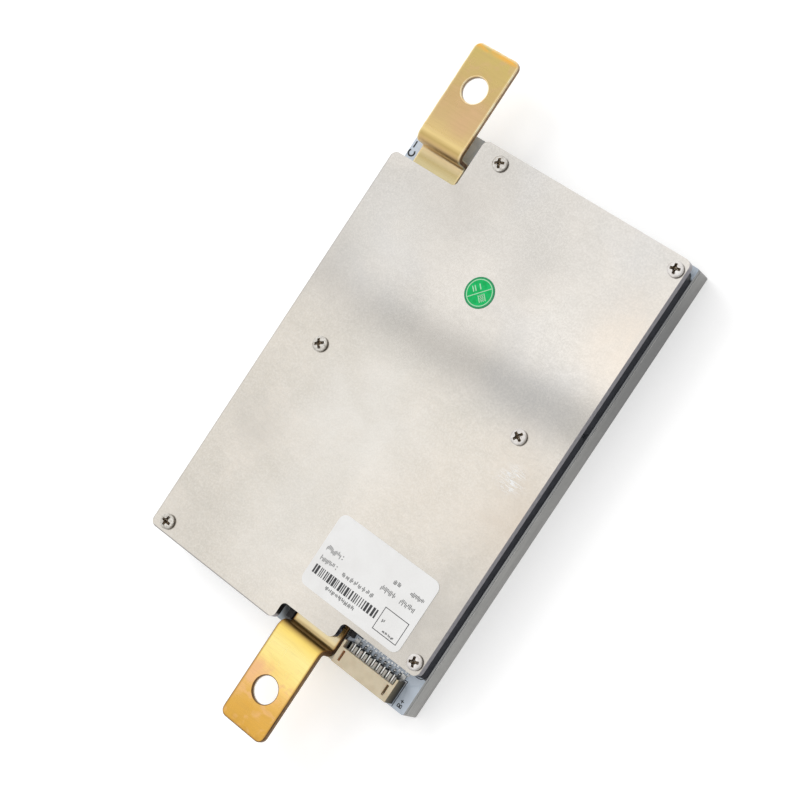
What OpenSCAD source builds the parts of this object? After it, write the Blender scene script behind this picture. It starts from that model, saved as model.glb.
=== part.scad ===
// Battery management board: a circuit board clamped between a thick heat sink and a thin cover
// plate, with two bent power bars and a nine-way cell-sense header. Millimetres, +Z up.
// The origin is the centre of the heat sink's underside, and +Y points to the charge tab's end.

/* [Outline] */
// Width of the heat sink, circuit board and cover
board_w = 105; // [98:1:120]
// Length of the heat sink, circuit board and cover
board_l = 158; // [148:1:180]
// Corner radius of the heat sink and circuit board
corner_r = 0.6; // [0.3:0.1:3]

/* [Stack] */
// Thickness of the heat sink plate
heat_sink_t = 7.6; // [6.5:0.1:12]
// Thickness of the thermal pad under the circuit board
lower_pad_t = 0.4; // [0.2:0.1:1]
// How far the lower thermal pad stays inside the board's edges
lower_pad_inset = 0.3; // [0.2:0.1:2]
// Thickness of the circuit board
pcb_t = 1.6; // [1.2:0.2:2.4]
// Open height between the circuit board and the cover
gap_h = 4.6; // [4:0.1:6]
// Thickness of the cover plate
cover_t = 2.8; // [2:0.1:4]

/* [Cover outline] */
// Radius of the cover's outer corners
cover_corner_r = 2.2; // [1:0.1:2.4]
// Radius of the cover's inner corners
cover_fillet_r = 1.6; // [0.8:0.1:2]
// Length of the cut-out over the charge tab
charge_notch_l = 17.4; // [14:0.1:20]
// Setback of the cover's edge over the battery tab
tab_setback = 6.4; // [5:0.1:8]
// Setback of the cover's edge along the header
header_setback = 12.5; // [11.5:0.1:14]
// Clear width that the cover leaves beside a tab
tab_side_gap = 3.3; // [2.5:0.1:5]
// Clear width that the cover leaves beside the header
header_side_gap = 2.6; // [2:0.1:4]

/* [Power tabs] */
// Width of both power tabs
tab_w = 17.6; // [14:0.1:18]
// Thickness of the tab bars
tab_t = 2; // [1.5:0.1:2.5]
// Inner bend radius of the tab bars
tab_bend_r = 1; // [0.6:0.1:1.4]
// Height from the underside of a tab's foot to the underside of its outer end
tab_rise = 7; // [6:0.1:10]
// Length of the foot that is soldered to the board
tab_foot_l = 17; // [15:0.5:18]
// Corner radius at the outer end of a tab
tab_corner_r = 2.4; // [1:0.1:5]
// Corner radius at the soldered end of a tab
tab_foot_r = 0.8; // [0.3:0.1:2]
// Diameter of the cable bolt hole
tab_hole_d = 8.8; // [6.4:0.1:10.5]
// Distance from the hole's centre to the tab's outer end
tab_hole_inset = 14; // [9:0.5:15]
// Centre line of the charge tab, from the left edge
charge_tab_x = 13.4; // [12:0.1:14]
// Riser of the charge tab, inboard from the board's far end
charge_riser_in = 11; // [9.5:0.1:12]
// Reach of the charge tab beyond the board's far end
charge_reach = 25; // [20:0.5:35]
// Centre line of the battery tab, from the right edge
battery_tab_in = 38.1; // [37.5:0.1:45]
// Riser of the battery tab, inboard from the board's near end
battery_riser_in = 2.6; // [2.2:0.1:3.4]
// Reach of the battery tab beyond the board's near end
battery_reach = 32; // [24:0.5:40]

/* [Sense header] */
// Number of ways
header_ways = 9; // [5:1:9]
// Pitch of the pins
header_pitch = 2; // [1.8:0.1:2]
// Housing length beyond the first and last pins, at each end
header_end = 3; // [2.8:0.1:3.4]
// Depth of the housing, front to back
header_depth = 7.7; // [7.2:0.1:8]
// Height of the housing
header_h = 5.4; // [5:0.1:5.6]
// Wall of the housing
header_wall = 0.8; // [0.6:0.1:1]
// Back wall that holds the pins
header_back = 3.3; // [3:0.1:3.6]
// Clear width between the battery tab and the header
header_tab_gap = 2.3; // [2:0.1:3]
// Setback of the header's mouth from the board's near end
header_front_in = 0.8; // [0:0.1:1.5]
// Thickness of the square pins
pin_t = 0.5; // [0.4:0.05:0.7]
// Length of a pin's foot on the board
pin_foot_l = 1.4; // [1:0.1:2]

/* [Cover screws] */
// Thread diameter
screw_d = 2.5; // [2:0.1:2.6]
// Head diameter
screw_head_d = 5; // [4.6:0.1:5.2]
// Head height
screw_head_h = 1.7; // [1.5:0.1:2.2]
// Depth of thread in the heat sink
screw_bite = 4.6; // [3.5:0.1:5]
// Hole clearance on diameter in the cover, spacer and board
screw_clear = 0.4; // [0.3:0.05:0.6]
// Outer diameter of the spacers between board and cover
spacer_d = 4.8; // [4.4:0.1:5]

/* [Power transistors] */
// Body width along the row
fet_w = 6.6; // [6:0.1:7]
// Body length across the row
fet_body_l = 6.1; // [5.6:0.1:6.4]
// Body height
fet_h = 2.3; // [2:0.1:2.5]
// Pitch of the transistors in a row
fet_pitch = 7.5; // [7.3:0.1:9]
// Setback of the rows from the board's long edges
fet_edge_in = 2; // [1.5:0.1:2.4]

/* [Labels] */
// Width of the rating label
label_w = 40.4; // [36:0.1:42]
// Height of the rating label
label_h = 25; // [20:0.1:26]
// Corner radius of the rating label
label_r = 2.6; // [1:0.1:4]
// Thickness of the label and sticker
label_t = 0.15; // [0.1:0.05:0.3]
// Diameter of the round inspection sticker
sticker_d = 10; // [8:0.5:12]

/* [Hidden] */

$fn = 32;
over = 1;                 // how far a cutter runs past the face that it opens

// Levels of the stack, from the heat sink's underside up
pad_z = heat_sink_t;
pcb_z = pad_z + lower_pad_t;
deck_z = pcb_z + pcb_t;
cover_z = deck_z + gap_h;
top_z = cover_z + cover_t;

// The cover's cut-outs follow the tabs and the header that they clear
charge_notch_w = charge_tab_x + tab_w / 2 + tab_side_gap;
battery_tab_x = board_w - battery_tab_in;
battery_tab_side = battery_tab_x + tab_w / 2;
tongue_x = battery_tab_x - tab_w / 2 - tab_side_gap;
header_l = (header_ways - 1) * header_pitch + 2 * header_end;
header_x = battery_tab_side + header_tab_gap + header_l / 2;
header_zone_x = header_x - header_l / 2 - header_side_gap;

// Transistor details
fet_metal_t = 0.5;
fet_tab_l = 1.1;
fet_tab_w = 5.3;
fet_lead_w = 0.8;
fet_lead_l = 2.6;
fet_lead_x = 2.28;
fet_lead_raise = 0.4;
fet_lead_run = 0.6;
fet_draft = 0.35;
fet_row_gap = 1.2;
break_w = 5;
break_y = board_l / 2 + 19.7;
upper_pad_over = 0.5;
upper_pad_edge_in = 0.25;
upper_pad_r = 1.4;
upper_pad_play = 0.1;     // between a pad and what it wraps round
upper_pad_joint = 0.3;    // between the two pads of the right edge
upper_pad_far_in = 4;
fet_row_w = fet_tab_l + fet_body_l + fet_lead_l;

// Screws and spacers, numbered from the charge tab's end
screw_edge_in = 3;
screw_far_in = 4.3;
screw_near_in = 3.7;
screw_notch_gap = 9.1;
corner_screw_x = 5.4;
left_screw_gap = 2.2;
left_screw_y = board_l / 2 - 1.8;
right_screw_gap = 0.8;
right_screw_y = board_l / 2 + 8.9;
row_spacer_in = fet_edge_in + fet_row_w + spacer_d / 2;
SCREWS = [
    [charge_notch_w + screw_notch_gap, board_l - screw_far_in],
    [board_w - screw_edge_in, board_l - screw_far_in],
    [row_spacer_in + left_screw_gap, left_screw_y],
    [board_w - row_spacer_in - right_screw_gap, right_screw_y],
    [corner_screw_x, screw_near_in],
    [board_w - screw_edge_in, header_setback + screw_near_in]];
screw_turns = [26, 16, 37, 60, 83, 21];
tap_play = 0.1;           // on diameter, between the thread and its tapped hole
tap_spare = 0.8;          // tapped depth beyond the screw's end
hole_d = screw_d + screw_clear;
recess_arm_w = 0.9;
recess_d = 3.6;
recess_core_d = 1.7;
recess_tip_d = 1.2;
recess_depth = 1.4;
recess_flare = 0.8;       // how much wider the recess's taper is than its arms, at the crown
dome_r = 4.6;

// Header details
latch_slot_w = 0.8;
latch_slot_l = 3.5;
latch_slot_y = 1.3;
latch_slot_in = 2.05;
comb_slot_w = 1.1;
comb_end_gap = 1.1;
comb_end_h = 1;
pin_play = 0.04;
pin_z = 2.7;
pin_tip_in = 1.4;
back_step_h = 1.9;
back_step_l = 2.2;
anchor_t = 0.3;
anchor_w = 1.6;
anchor_l = 2;
anchor_h = 1.6;

// Rows of transistors, as the span of board length that each may fill
near_left_y = screw_near_in + spacer_d / 2 + fet_row_gap;
far_left_y = board_l - charge_riser_in - tab_foot_l - fet_row_gap;
near_right_y = header_setback + screw_near_in + spacer_d / 2 + fet_row_gap;
far_right_y = board_l - screw_far_in - spacer_d / 2 - fet_row_gap;
ROW_LEFT = [near_left_y, far_left_y];
ROW_RIGHT_NEAR = [near_right_y, break_y - break_w / 2];
ROW_RIGHT_FAR = [break_y + break_w / 2, far_right_y];

// Small parts on the board: sizes are length along x, length along y, height
shunt_size = [6.4, 3.2, 1.2];
shunt_pitch = 4.6;
shunt_count = 3;
shunt_gap = 4;
shunt_edge_in = 6.2;
resistor_size = [3.2, 6.4, 0.7];
resistor_pitch = 4.4;
resistor_gap = 12;
resistor_edge_gap = 3;
capacitor_size = [1.25, 2, 1.2];
capacitor_pitch = 3.2;
capacitor_count = 10;
capacitor_gap = 20;
diode_size = [1.8, 2.7, 1.1];
clamp_size = [2.2, 3.4, 1.5];
clamp_edge_in = 4;
clamp_aside = 0.2;        // towards the cover, from the middle of the gap beside the tab
diode_tab_gap = 0.6;
diode_cover_gap = 0.4;
chip_leg_pitch = 0.5;
monitor_size = [9.7, 4.4, 1];
monitor_legs = 19;
monitor_gap = 28;
controller_size = [7, 7, 1.4];
controller_legs = 12;
controller_gap = 44;
controller_side_gap = 22;
leg_w = 0.24;
leg_t = 0.16;
leg_l = 1;
leg_z = 0.5;
leg_run = 0.3;
chip_standoff = 0.1;

// Places on the cover
label_x_in = 29.5;
label_gap = 1.8;
sticker_x = 52.8;
sticker_far_in = 40.7;

// Moves a shape from the board's left near corner, at a given height
module at(x, y, z = 0) {
    translate([x - board_w / 2, y - board_l / 2, z]) children();
}

// A rectangle of the given size from the origin, with round corners
module round_rect(size, r) {
    difference() {
        square(size);
        for (i = [0, 1], j = [0, 1])
            translate([i * size[0], j * size[1]]) corner_cut([1 - 2 * i, 1 - 2 * j], r);
    }
}

// Trims a convex corner at the origin to radius r; dir points into the shape
module corner_cut(dir, r) {
    mirror([dir[0] < 0 ? 1 : 0, 0]) mirror([0, dir[1] < 0 ? 1 : 0]) difference() {
        translate([-over, -over]) square(r + over);
        translate([r, r]) circle(r);
    }
}

// Fills a concave corner at the origin to radius r; dir points into the open side
module corner_fill(dir, r) {
    mirror([dir[0] < 0 ? 1 : 0, 0]) mirror([0, dir[1] < 0 ? 1 : 0]) difference() {
        square(r);
        translate([r, r]) circle(r);
    }
}

// One hole at every cover screw
module screw_holes(d, z, h) {
    for (p = SCREWS) at(p[0], p[1], z) cylinder(d = d, h = h);
}

// A plate with the board's outline
module board_plate(z, t, inset = 0) {
    at(inset, inset, z) linear_extrude(t)
        round_rect([board_w - 2 * inset, board_l - 2 * inset], corner_r);
}

// Outline of the cover: the charge notch, the tongue over the battery tab, the header's edge
module cover_outline() {
    notch_y = board_l - charge_notch_l;
    difference() {
        square([board_w, board_l]);
        translate([-over, notch_y]) square([charge_notch_w + over, charge_notch_l + over]);
        translate([tongue_x, -over]) square([board_w, tab_setback + over]);
        translate([header_zone_x, -over]) square([board_w, header_setback + over]);
        corner_cut([1, 1], cover_corner_r);
        translate([board_w, board_l]) corner_cut([-1, -1], cover_corner_r);
        translate([board_w, header_setback]) corner_cut([-1, 1], cover_corner_r);
        translate([0, notch_y]) corner_cut([1, -1], cover_corner_r);
        translate([charge_notch_w, board_l]) corner_cut([1, -1], cover_corner_r);
        translate([tongue_x, 0]) corner_cut([-1, 1], cover_corner_r);
        translate([header_zone_x, tab_setback]) corner_cut([-1, 1], cover_corner_r);
    }
    translate([charge_notch_w, notch_y]) corner_fill([-1, 1], cover_fillet_r);
    translate([tongue_x, tab_setback]) corner_fill([1, -1], cover_fillet_r);
    translate([header_zone_x, header_setback]) corner_fill([1, -1], cover_fillet_r);
}

module top_cover() {
    color("gainsboro") difference() {
        at(0, 0, cover_z) linear_extrude(cover_t) cover_outline();
        screw_holes(hole_d, cover_z - over, cover_t + 2 * over);
    }
}

module heat_sink() {
    color("darkgray") difference() {
        board_plate(0, heat_sink_t);
        screw_holes(screw_d + tap_play, heat_sink_t - screw_bite - tap_spare, heat_sink_t);
    }
}

module lower_thermal_pad() {
    color("dimgray") difference() {
        board_plate(pad_z, lower_pad_t, lower_pad_inset);
        screw_holes(hole_d, pad_z - over, lower_pad_t + 2 * over);
    }
}

module circuit_board() {
    color("aliceblue") difference() {
        board_plate(pcb_z, pcb_t);
        screw_holes(hole_d, pcb_z - over, pcb_t + 2 * over);
    }
}

// A quarter ring of the bar's thickness about a bend's centre; dir is its quadrant
module bend(centre, dir) {
    outer_r = tab_bend_r + tab_t;
    translate(centre) intersection() {
        difference() {
            circle(outer_r);
            circle(tab_bend_r);
        }
        translate([dir[0] < 0 ? -outer_r : 0, dir[1] < 0 ? -outer_r : 0]) square(outer_r);
    }
}

// Side profile of a tab: foot, riser and outer end, with the riser's inner face at x = 0
module tab_profile(reach) {
    outer_r = tab_bend_r + tab_t;
    translate([-tab_foot_l, 0]) square([tab_foot_l - tab_bend_r, tab_t]);
    bend([-tab_bend_r, outer_r], [1, -1]);
    translate([0, outer_r]) square([tab_t, tab_rise + tab_t - 2 * outer_r]);
    bend([outer_r, tab_rise + tab_t - outer_r], [-1, 1]);
    translate([outer_r, tab_rise]) square([reach - outer_r, tab_t]);
}

// Plan of a tab, along x from the end of its foot to its outer end
module tab_plan(reach) {
    difference() {
        translate([-tab_foot_l, -tab_w / 2]) square([tab_foot_l + reach, tab_w]);
        for (s = [-1, 1]) {
            translate([reach, s * tab_w / 2]) corner_cut([-1, -s], tab_corner_r);
            translate([-tab_foot_l, s * tab_w / 2]) corner_cut([1, -s], tab_foot_r);
        }
    }
}

// A bent power bar that runs out along +X from its riser
module tab_bar(reach) {
    difference() {
        intersection() {
            translate([0, tab_w / 2, 0]) rotate([90, 0, 0])
                linear_extrude(tab_w) tab_profile(reach);
            translate([0, 0, -over]) linear_extrude(tab_rise + tab_t + 2 * over)
                tab_plan(reach);
        }
        translate([reach - tab_hole_inset, 0, tab_rise - over])
            cylinder(d = tab_hole_d, h = tab_t + 2 * over);
    }
}

module charge_tab() {
    color("goldenrod") at(charge_tab_x, board_l - charge_riser_in, deck_z)
        rotate([0, 0, 90]) tab_bar(charge_reach + charge_riser_in);
}

module battery_tab() {
    color("goldenrod") at(battery_tab_x, battery_riser_in, deck_z)
        rotate([0, 0, -90]) tab_bar(battery_reach + battery_riser_in);
}

// Places a shape in the header's frame: x along the pins from the middle, y in from the mouth
module in_header() {
    at(header_x, header_front_in, deck_z) children();
}

// Repeats a shape at every pin of the header
module at_pins() {
    for (i = [0 : header_ways - 1])
        translate([(i - (header_ways - 1) / 2) * header_pitch, 0, 0]) children();
}

// Side outline of a pin: blade in the cavity, bend, and foot on the board
module pin_outline() {
    translate([pin_tip_in, pin_z]) square([header_depth + pin_t - pin_tip_in, pin_t]);
    translate([header_depth, 0]) square([pin_t, pin_z + pin_t]);
    translate([header_depth, 0]) square([pin_foot_l, pin_t]);
}

// One square pin about x = 0
module pin() {
    translate([-pin_t / 2, 0, 0]) rotate([90, 0, 90]) linear_extrude(pin_t) pin_outline();
}

module header_housing() {
    inner_l = header_l - 2 * header_wall;
    inner_h = header_h - 2 * header_wall;
    cavity_y = header_depth - header_back;
    color("wheat") in_header() difference() {
        translate([-header_l / 2, 0, 0]) cube([header_l, header_depth, header_h]);
        translate([-inner_l / 2, -over, header_wall])
            cube([inner_l, cavity_y + over, inner_h]);
        // The back steps down over the pins between the two end posts
        translate([-inner_l / 2, header_depth - back_step_l, header_h - back_step_h])
            cube([inner_l, back_step_l + over, back_step_h + over]);
        at_pins() translate([-comb_slot_w / 2, header_depth - back_step_l, pin_z - pin_play])
            cube([comb_slot_w, back_step_l + over, header_h]);
        for (s = [-1, 1])
            translate([s * (inner_l - comb_end_gap) / 2 - comb_end_gap / 2,
                header_depth - back_step_l, comb_end_h])
                cube([comb_end_gap, back_step_l + over, header_h]);
        for (s = [-1, 1])
            translate([s * (header_l / 2 - latch_slot_in) - latch_slot_w / 2,
                latch_slot_y, header_h - header_wall - over])
                cube([latch_slot_w, latch_slot_l, header_wall + 2 * over]);
        at_pins() translate([-pin_t / 2 - pin_play, cavity_y - over, pin_z - pin_play])
            cube([pin_t + 2 * pin_play, header_back + 2 * over, pin_t + 2 * pin_play]);
        for (s = [-1, 1])
            translate([s * (header_l / 2 - header_wall - anchor_w / 2) - anchor_w / 2,
                header_depth - anchor_t, -over])
                cube([anchor_w, anchor_t + over, anchor_h + over]);
    }
}

module header_pins() {
    color("silver") in_header() at_pins() pin();
}

module header_anchors() {
    color("silver") in_header() for (s = [-1, 1])
        translate([s * (header_l / 2 - header_wall - anchor_w / 2) - anchor_w / 2,
            header_depth - anchor_t, 0]) {
            cube([anchor_w, anchor_t, anchor_h]);
            cube([anchor_w, anchor_l, anchor_t]);
        }
}

// Repeats a shape along a row's span of the board's length, centred in it
module along_row(span) {
    count = floor((span[1] - span[0]) / fet_pitch);
    start = (span[0] + span[1] - (count - 1) * fet_pitch) / 2;
    for (i = [0 : count - 1]) translate([0, start + i * fet_pitch, 0]) children();
}

// Puts a row along the left edge of the board, its metal tabs outward
module left_row(span) {
    at(fet_edge_in, 0, deck_z) along_row(span) children();
}

// Puts a row along the right edge of the board, its metal tabs outward
module right_row(span) {
    at(board_w - fet_edge_in, 0, deck_z) mirror([1, 0, 0]) along_row(span) children();
}

// Moulded body of one power transistor, vertical up to its leads and drafted above them
module transistor_body() {
    part_z = fet_lead_raise + fet_metal_t;
    translate([fet_tab_l, fet_w / 2, 0]) rotate([90, 0, 0]) linear_extrude(fet_w)
        polygon([[0, 0], [fet_body_l, 0], [fet_body_l, part_z], [fet_body_l - fet_draft, fet_h],
            [fet_draft, fet_h], [0, part_z]]);
}

// Side outline of a lead: it leaves the body raised and bends down to the board
module lead_outline() {
    upper_z = fet_lead_raise + fet_metal_t;
    foot_x = fet_lead_run + fet_lead_raise;
    polygon([[0, fet_lead_raise], [0, upper_z], [fet_lead_run + fet_metal_t / 2, upper_z],
        [foot_x + fet_metal_t / 2, fet_metal_t], [fet_lead_l, fet_metal_t], [fet_lead_l, 0],
        [foot_x, 0], [fet_lead_run, fet_lead_raise]]);
}

// Soldered metal of one power transistor: drain tab and two bent leads
module transistor_metal() {
    translate([0, -fet_tab_w / 2, 0]) cube([fet_tab_l, fet_tab_w, fet_metal_t]);
    for (s = [-1, 1])
        translate([fet_tab_l + fet_body_l, s * fet_lead_x + fet_lead_w / 2, 0])
            rotate([90, 0, 0]) linear_extrude(fet_lead_w) lead_outline();
}

module transistor_bodies_left() {
    color("dimgray") left_row(ROW_LEFT) transistor_body();
}

module transistor_bodies_right() {
    color("dimgray") {
        right_row(ROW_RIGHT_NEAR) transistor_body();
        right_row(ROW_RIGHT_FAR) transistor_body();
    }
}

module transistor_metal_left() {
    color("silver") left_row(ROW_LEFT) transistor_metal();
}

module transistor_metal_right() {
    color("silver") {
        right_row(ROW_RIGHT_NEAR) transistor_metal();
        right_row(ROW_RIGHT_FAR) transistor_metal();
    }
}

// Soft pad along the left edge, over the given span: it lies on a row's bodies, and has a
// skirt outside them and a full foot beyond the row's ends
module upper_pad(span, row) {
    pad_w = fet_edge_in + fet_tab_l + fet_body_l + upper_pad_over - upper_pad_edge_in;
    difference() {
        translate([upper_pad_edge_in, span[0], 0]) linear_extrude(gap_h)
            round_rect([pad_w, span[1] - span[0]], upper_pad_r);
        translate([fet_edge_in - upper_pad_play, row[0] - upper_pad_play, -over])
            cube([pad_w, row[1] - row[0] + 2 * upper_pad_play, fet_h + over]);
    }
}

module upper_pad_left() {
    color("darkslategray") difference() {
        at(0, 0, deck_z) upper_pad([upper_pad_edge_in, ROW_LEFT[1]], ROW_LEFT);
        screw_holes(spacer_d + 2 * upper_pad_play, deck_z - over, gap_h + 2 * over);
    }
}

// A soft pad along the right edge
module right_pad(span, row) {
    color("darkslategray") difference() {
        at(board_w, 0, deck_z) mirror([1, 0, 0]) upper_pad(span, row);
        screw_holes(spacer_d + 2 * upper_pad_play, deck_z - over, gap_h + 2 * over);
    }
}

module upper_pad_right_near() {
    right_pad([header_setback + upper_pad_play, break_y - upper_pad_joint / 2], ROW_RIGHT_NEAR);
}

module upper_pad_right_far() {
    right_pad([break_y + upper_pad_joint / 2, board_l - upper_pad_far_in], ROW_RIGHT_FAR);
}

// A small block on the board, centred on its place
module block(size) {
    translate([-size[0] / 2, -size[1] / 2, 0]) cube(size);
}

module current_shunts() {
    shunt_x = tongue_x - shunt_gap - shunt_size[0] / 2;
    color("slategray") for (i = [0 : shunt_count - 1])
        at(shunt_x, shunt_edge_in + i * shunt_pitch, deck_z) block(shunt_size);
}

module balance_resistors() {
    first_x = board_w - fet_edge_in - fet_row_w - resistor_edge_gap;
    color("black") for (i = [0 : header_ways - 2])
        at(first_x - i * resistor_pitch, header_setback + resistor_gap, deck_z)
            block(resistor_size);
}

module filter_capacitors() {
    color("peru") for (i = [0 : capacitor_count - 1])
        at(header_x + (i - capacitor_count + 1) * capacitor_pitch,
            header_setback + capacitor_gap, deck_z)
            block(capacitor_size);
}

module edge_diodes() {
    color("black") {
        at(tongue_x + tab_side_gap / 2 - clamp_aside, clamp_edge_in, deck_z)
            block(clamp_size);
        at(battery_tab_side + diode_tab_gap + diode_size[0] / 2,
            header_setback - diode_cover_gap - diode_size[1] / 2, deck_z)
            block(diode_size);
    }
}

// Puts a shape at the cell monitor chip's centre
module at_monitor() {
    at(header_x - monitor_size[0], header_setback + monitor_gap, deck_z) children();
}

// Puts a shape at the controller chip's centre
module at_controller() {
    at(header_x - controller_side_gap, header_setback + controller_gap, deck_z) children();
}

module monitor_chip() {
    color("black") at_monitor() translate([0, 0, chip_standoff]) block(monitor_size);
}

module controller_chip() {
    color("black") at_controller() translate([0, 0, chip_standoff]) block(controller_size);
}

// One gull-wing leg that runs out along -Y from the chip's side at the origin
module leg() {
    translate([-leg_w / 2, 0, 0]) rotate([90, 0, 90]) mirror([1, 0]) linear_extrude(leg_w)
        polygon([[0, leg_z], [0, leg_z + leg_t], [leg_run + leg_t, leg_z + leg_t],
            [leg_run + leg_t, leg_t], [leg_l, leg_t], [leg_l, 0], [leg_run, 0],
            [leg_run, leg_z]]);
}

// A row of legs along x, on the side of a chip that lies at the given distance from its centre
module leg_row(count, side) {
    for (i = [0 : count - 1])
        translate([(i - (count - 1) / 2) * chip_leg_pitch, -side, 0]) leg();
}

module chip_legs() {
    color("silver") {
        at_monitor() for (turn = [0, 180])
            rotate([0, 0, turn]) leg_row(monitor_legs, monitor_size[1] / 2);
        at_controller() for (turn = [0 : 90 : 270])
            rotate([0, 0, turn]) leg_row(controller_legs, controller_size[0] / 2);
    }
}

// Tubular spacer number i between the board and the cover
module spacer(i) {
    color("dimgray") at(SCREWS[i][0], SCREWS[i][1], deck_z) difference() {
        cylinder(d = spacer_d, h = gap_h);
        translate([0, 0, -over]) cylinder(d = hole_d, h = gap_h + 2 * over);
    }
}

// Cross recess in a screw head, deepest in the middle
module cross_recess() {
    spread = (recess_d + recess_flare - recess_tip_d) / recess_depth;
    intersection() {
        translate([0, 0, -recess_depth]) linear_extrude(recess_depth + over) {
            for (turn = [0, 90])
                rotate(turn) translate([-recess_d / 2, -recess_arm_w / 2])
                    square([recess_d, recess_arm_w]);
            circle(d = recess_core_d);
        }
        translate([0, 0, -recess_depth])
            cylinder(d1 = recess_tip_d, d2 = recess_tip_d + spread * (recess_depth + over),
                h = recess_depth + over);
    }
}

// Pan-head cover screw number i, through the whole stack into the heat sink
module cover_screw(i) {
    shank_z = heat_sink_t - screw_bite;
    color("silver") at(SCREWS[i][0], SCREWS[i][1]) difference() {
        union() {
            translate([0, 0, shank_z]) cylinder(d = screw_d, h = top_z - shank_z);
            translate([0, 0, top_z]) intersection() {
                cylinder(d = screw_head_d, h = screw_head_h);
                translate([0, 0, screw_head_h - dome_r]) sphere(dome_r);
            }
        }
        translate([0, 0, top_z + screw_head_h]) rotate([0, 0, screw_turns[i]]) cross_recess();
    }
}

module rating_label() {
    color("white") at(board_w - label_x_in - label_w / 2, header_setback + label_gap, top_z)
        linear_extrude(label_t) round_rect([label_w, label_h], label_r);
}

module inspection_sticker() {
    color("seagreen") at(sticker_x, board_l - sticker_far_in, top_z)
        cylinder(d = sticker_d, h = label_t);
}

heat_sink();
lower_thermal_pad();
circuit_board();
charge_tab();
battery_tab();
header_housing();
header_pins();
header_anchors();
transistor_bodies_left();
transistor_bodies_right();
transistor_metal_left();
transistor_metal_right();
upper_pad_left();
upper_pad_right_near();
upper_pad_right_far();
current_shunts();
monitor_chip();
controller_chip();
chip_legs();
balance_resistors();
filter_capacitors();
edge_diodes();
spacer(0);  // spacer_1
spacer(1);  // spacer_2
spacer(2);  // spacer_3
spacer(3);  // spacer_4
spacer(4);  // spacer_5
spacer(5);  // spacer_6
cover_screw(0);  // cover_screw_1
cover_screw(1);  // cover_screw_2
cover_screw(2);  // cover_screw_3
cover_screw(3);  // cover_screw_4
cover_screw(4);  // cover_screw_5
cover_screw(5);  // cover_screw_6
top_cover();
rating_label();
inspection_sticker();
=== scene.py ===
"""Battery management board: finishes, solder, print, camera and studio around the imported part.

Sizes are in millimetres and are turned into metres where a mesh is made. Places on the board
are taken from its left near corner, and heights from the underside of the heat sink.
"""

import math
import random

import bmesh
import bpy
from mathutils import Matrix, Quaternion, Vector


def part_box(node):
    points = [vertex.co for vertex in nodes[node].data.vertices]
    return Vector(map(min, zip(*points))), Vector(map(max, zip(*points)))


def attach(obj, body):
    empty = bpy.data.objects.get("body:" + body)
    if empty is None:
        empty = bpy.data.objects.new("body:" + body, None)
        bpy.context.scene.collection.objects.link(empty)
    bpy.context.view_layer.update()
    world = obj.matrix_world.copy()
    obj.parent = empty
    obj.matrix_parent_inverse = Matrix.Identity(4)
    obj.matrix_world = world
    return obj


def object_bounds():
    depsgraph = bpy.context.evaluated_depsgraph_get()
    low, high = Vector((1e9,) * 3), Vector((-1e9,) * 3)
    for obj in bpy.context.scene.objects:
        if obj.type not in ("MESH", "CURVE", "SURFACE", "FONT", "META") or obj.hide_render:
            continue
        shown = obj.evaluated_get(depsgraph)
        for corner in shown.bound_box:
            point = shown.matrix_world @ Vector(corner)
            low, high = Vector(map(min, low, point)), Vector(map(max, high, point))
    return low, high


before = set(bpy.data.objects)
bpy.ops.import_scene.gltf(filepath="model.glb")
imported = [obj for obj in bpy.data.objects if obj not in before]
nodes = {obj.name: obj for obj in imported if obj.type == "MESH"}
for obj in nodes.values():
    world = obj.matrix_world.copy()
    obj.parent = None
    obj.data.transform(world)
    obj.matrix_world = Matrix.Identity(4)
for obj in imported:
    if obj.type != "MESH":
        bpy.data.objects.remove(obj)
cad_low, cad_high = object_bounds()

MM = 0.001
BOARD_LOW, BOARD_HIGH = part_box("circuit_board")
CORNER = Vector((BOARD_LOW.x, BOARD_LOW.y, 0))
BOARD_W = (BOARD_HIGH.x - BOARD_LOW.x) / MM
BOARD_L = (BOARD_HIGH.y - BOARD_LOW.y) / MM
DECK = BOARD_HIGH.z / MM
COVER_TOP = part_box("top_cover")[1].z / MM
LABEL_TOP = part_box("rating_label")[1].z / MM
STICKER_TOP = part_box("inspection_sticker")[1].z / MM
PRINT_T = 0.03        # thickness of ink on the board, the label and the sticker
PAD_T = 0.04          # thickness of tinned copper on the board
DOME_R = 4.6          # radius of the screw heads' crown
TAB_FOOT = 17.0       # length of a power tab's foot
TAB_BEND = 3.0        # what the bend takes of that foot
CHARGE_RISER = 11.0   # the tabs' risers, inboard from the board's ends
BATTERY_RISER = 2.6
TAB_ROUGH = 0.25
HOLE_IN = 14.0        # from a tab's end to its hole's centre
NOTCH_L = 17.4        # length of the cover's cut-out over the charge tab
COMB_L = 2.2          # length of the header's comb, which holds its pins
PIN_Z = 2.7           # height of the header's pins over the board


# ---- places and outlines


def in_frame(x, y, z):
    """A point of the frame, in metres, from its place on the board in mm."""
    return (CORNER.x + x * MM, CORNER.y + y * MM, z * MM)


def span(node):
    """Lowest and highest corner of a CAD node, in mm from the board's left near corner."""
    low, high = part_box(node)
    return (low - CORNER) / MM, (high - CORNER) / MM


def middle(node):
    low, high = span(node)
    return (low + high) / 2


def runs(node, axis, join=0.05):
    """The separate intervals that a node's faces cover along an axis, in mm, in order."""
    mesh = nodes[node].data
    places = [(vertex.co[axis] - CORNER[axis]) / MM for vertex in mesh.vertices]
    faces = [[places[i] for i in face.vertices] for face in mesh.polygons]
    merged = []
    for low, high in sorted((min(face), max(face)) for face in faces):
        if merged and low <= merged[-1][1] + join:
            merged[-1][1] = max(merged[-1][1], high)
        else:
            merged.append([low, high])
    return merged


def rectangle(x0, y0, x1, y1):
    return [(x0, y0), (x1, y0), (x1, y1), (x0, y1)]


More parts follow.
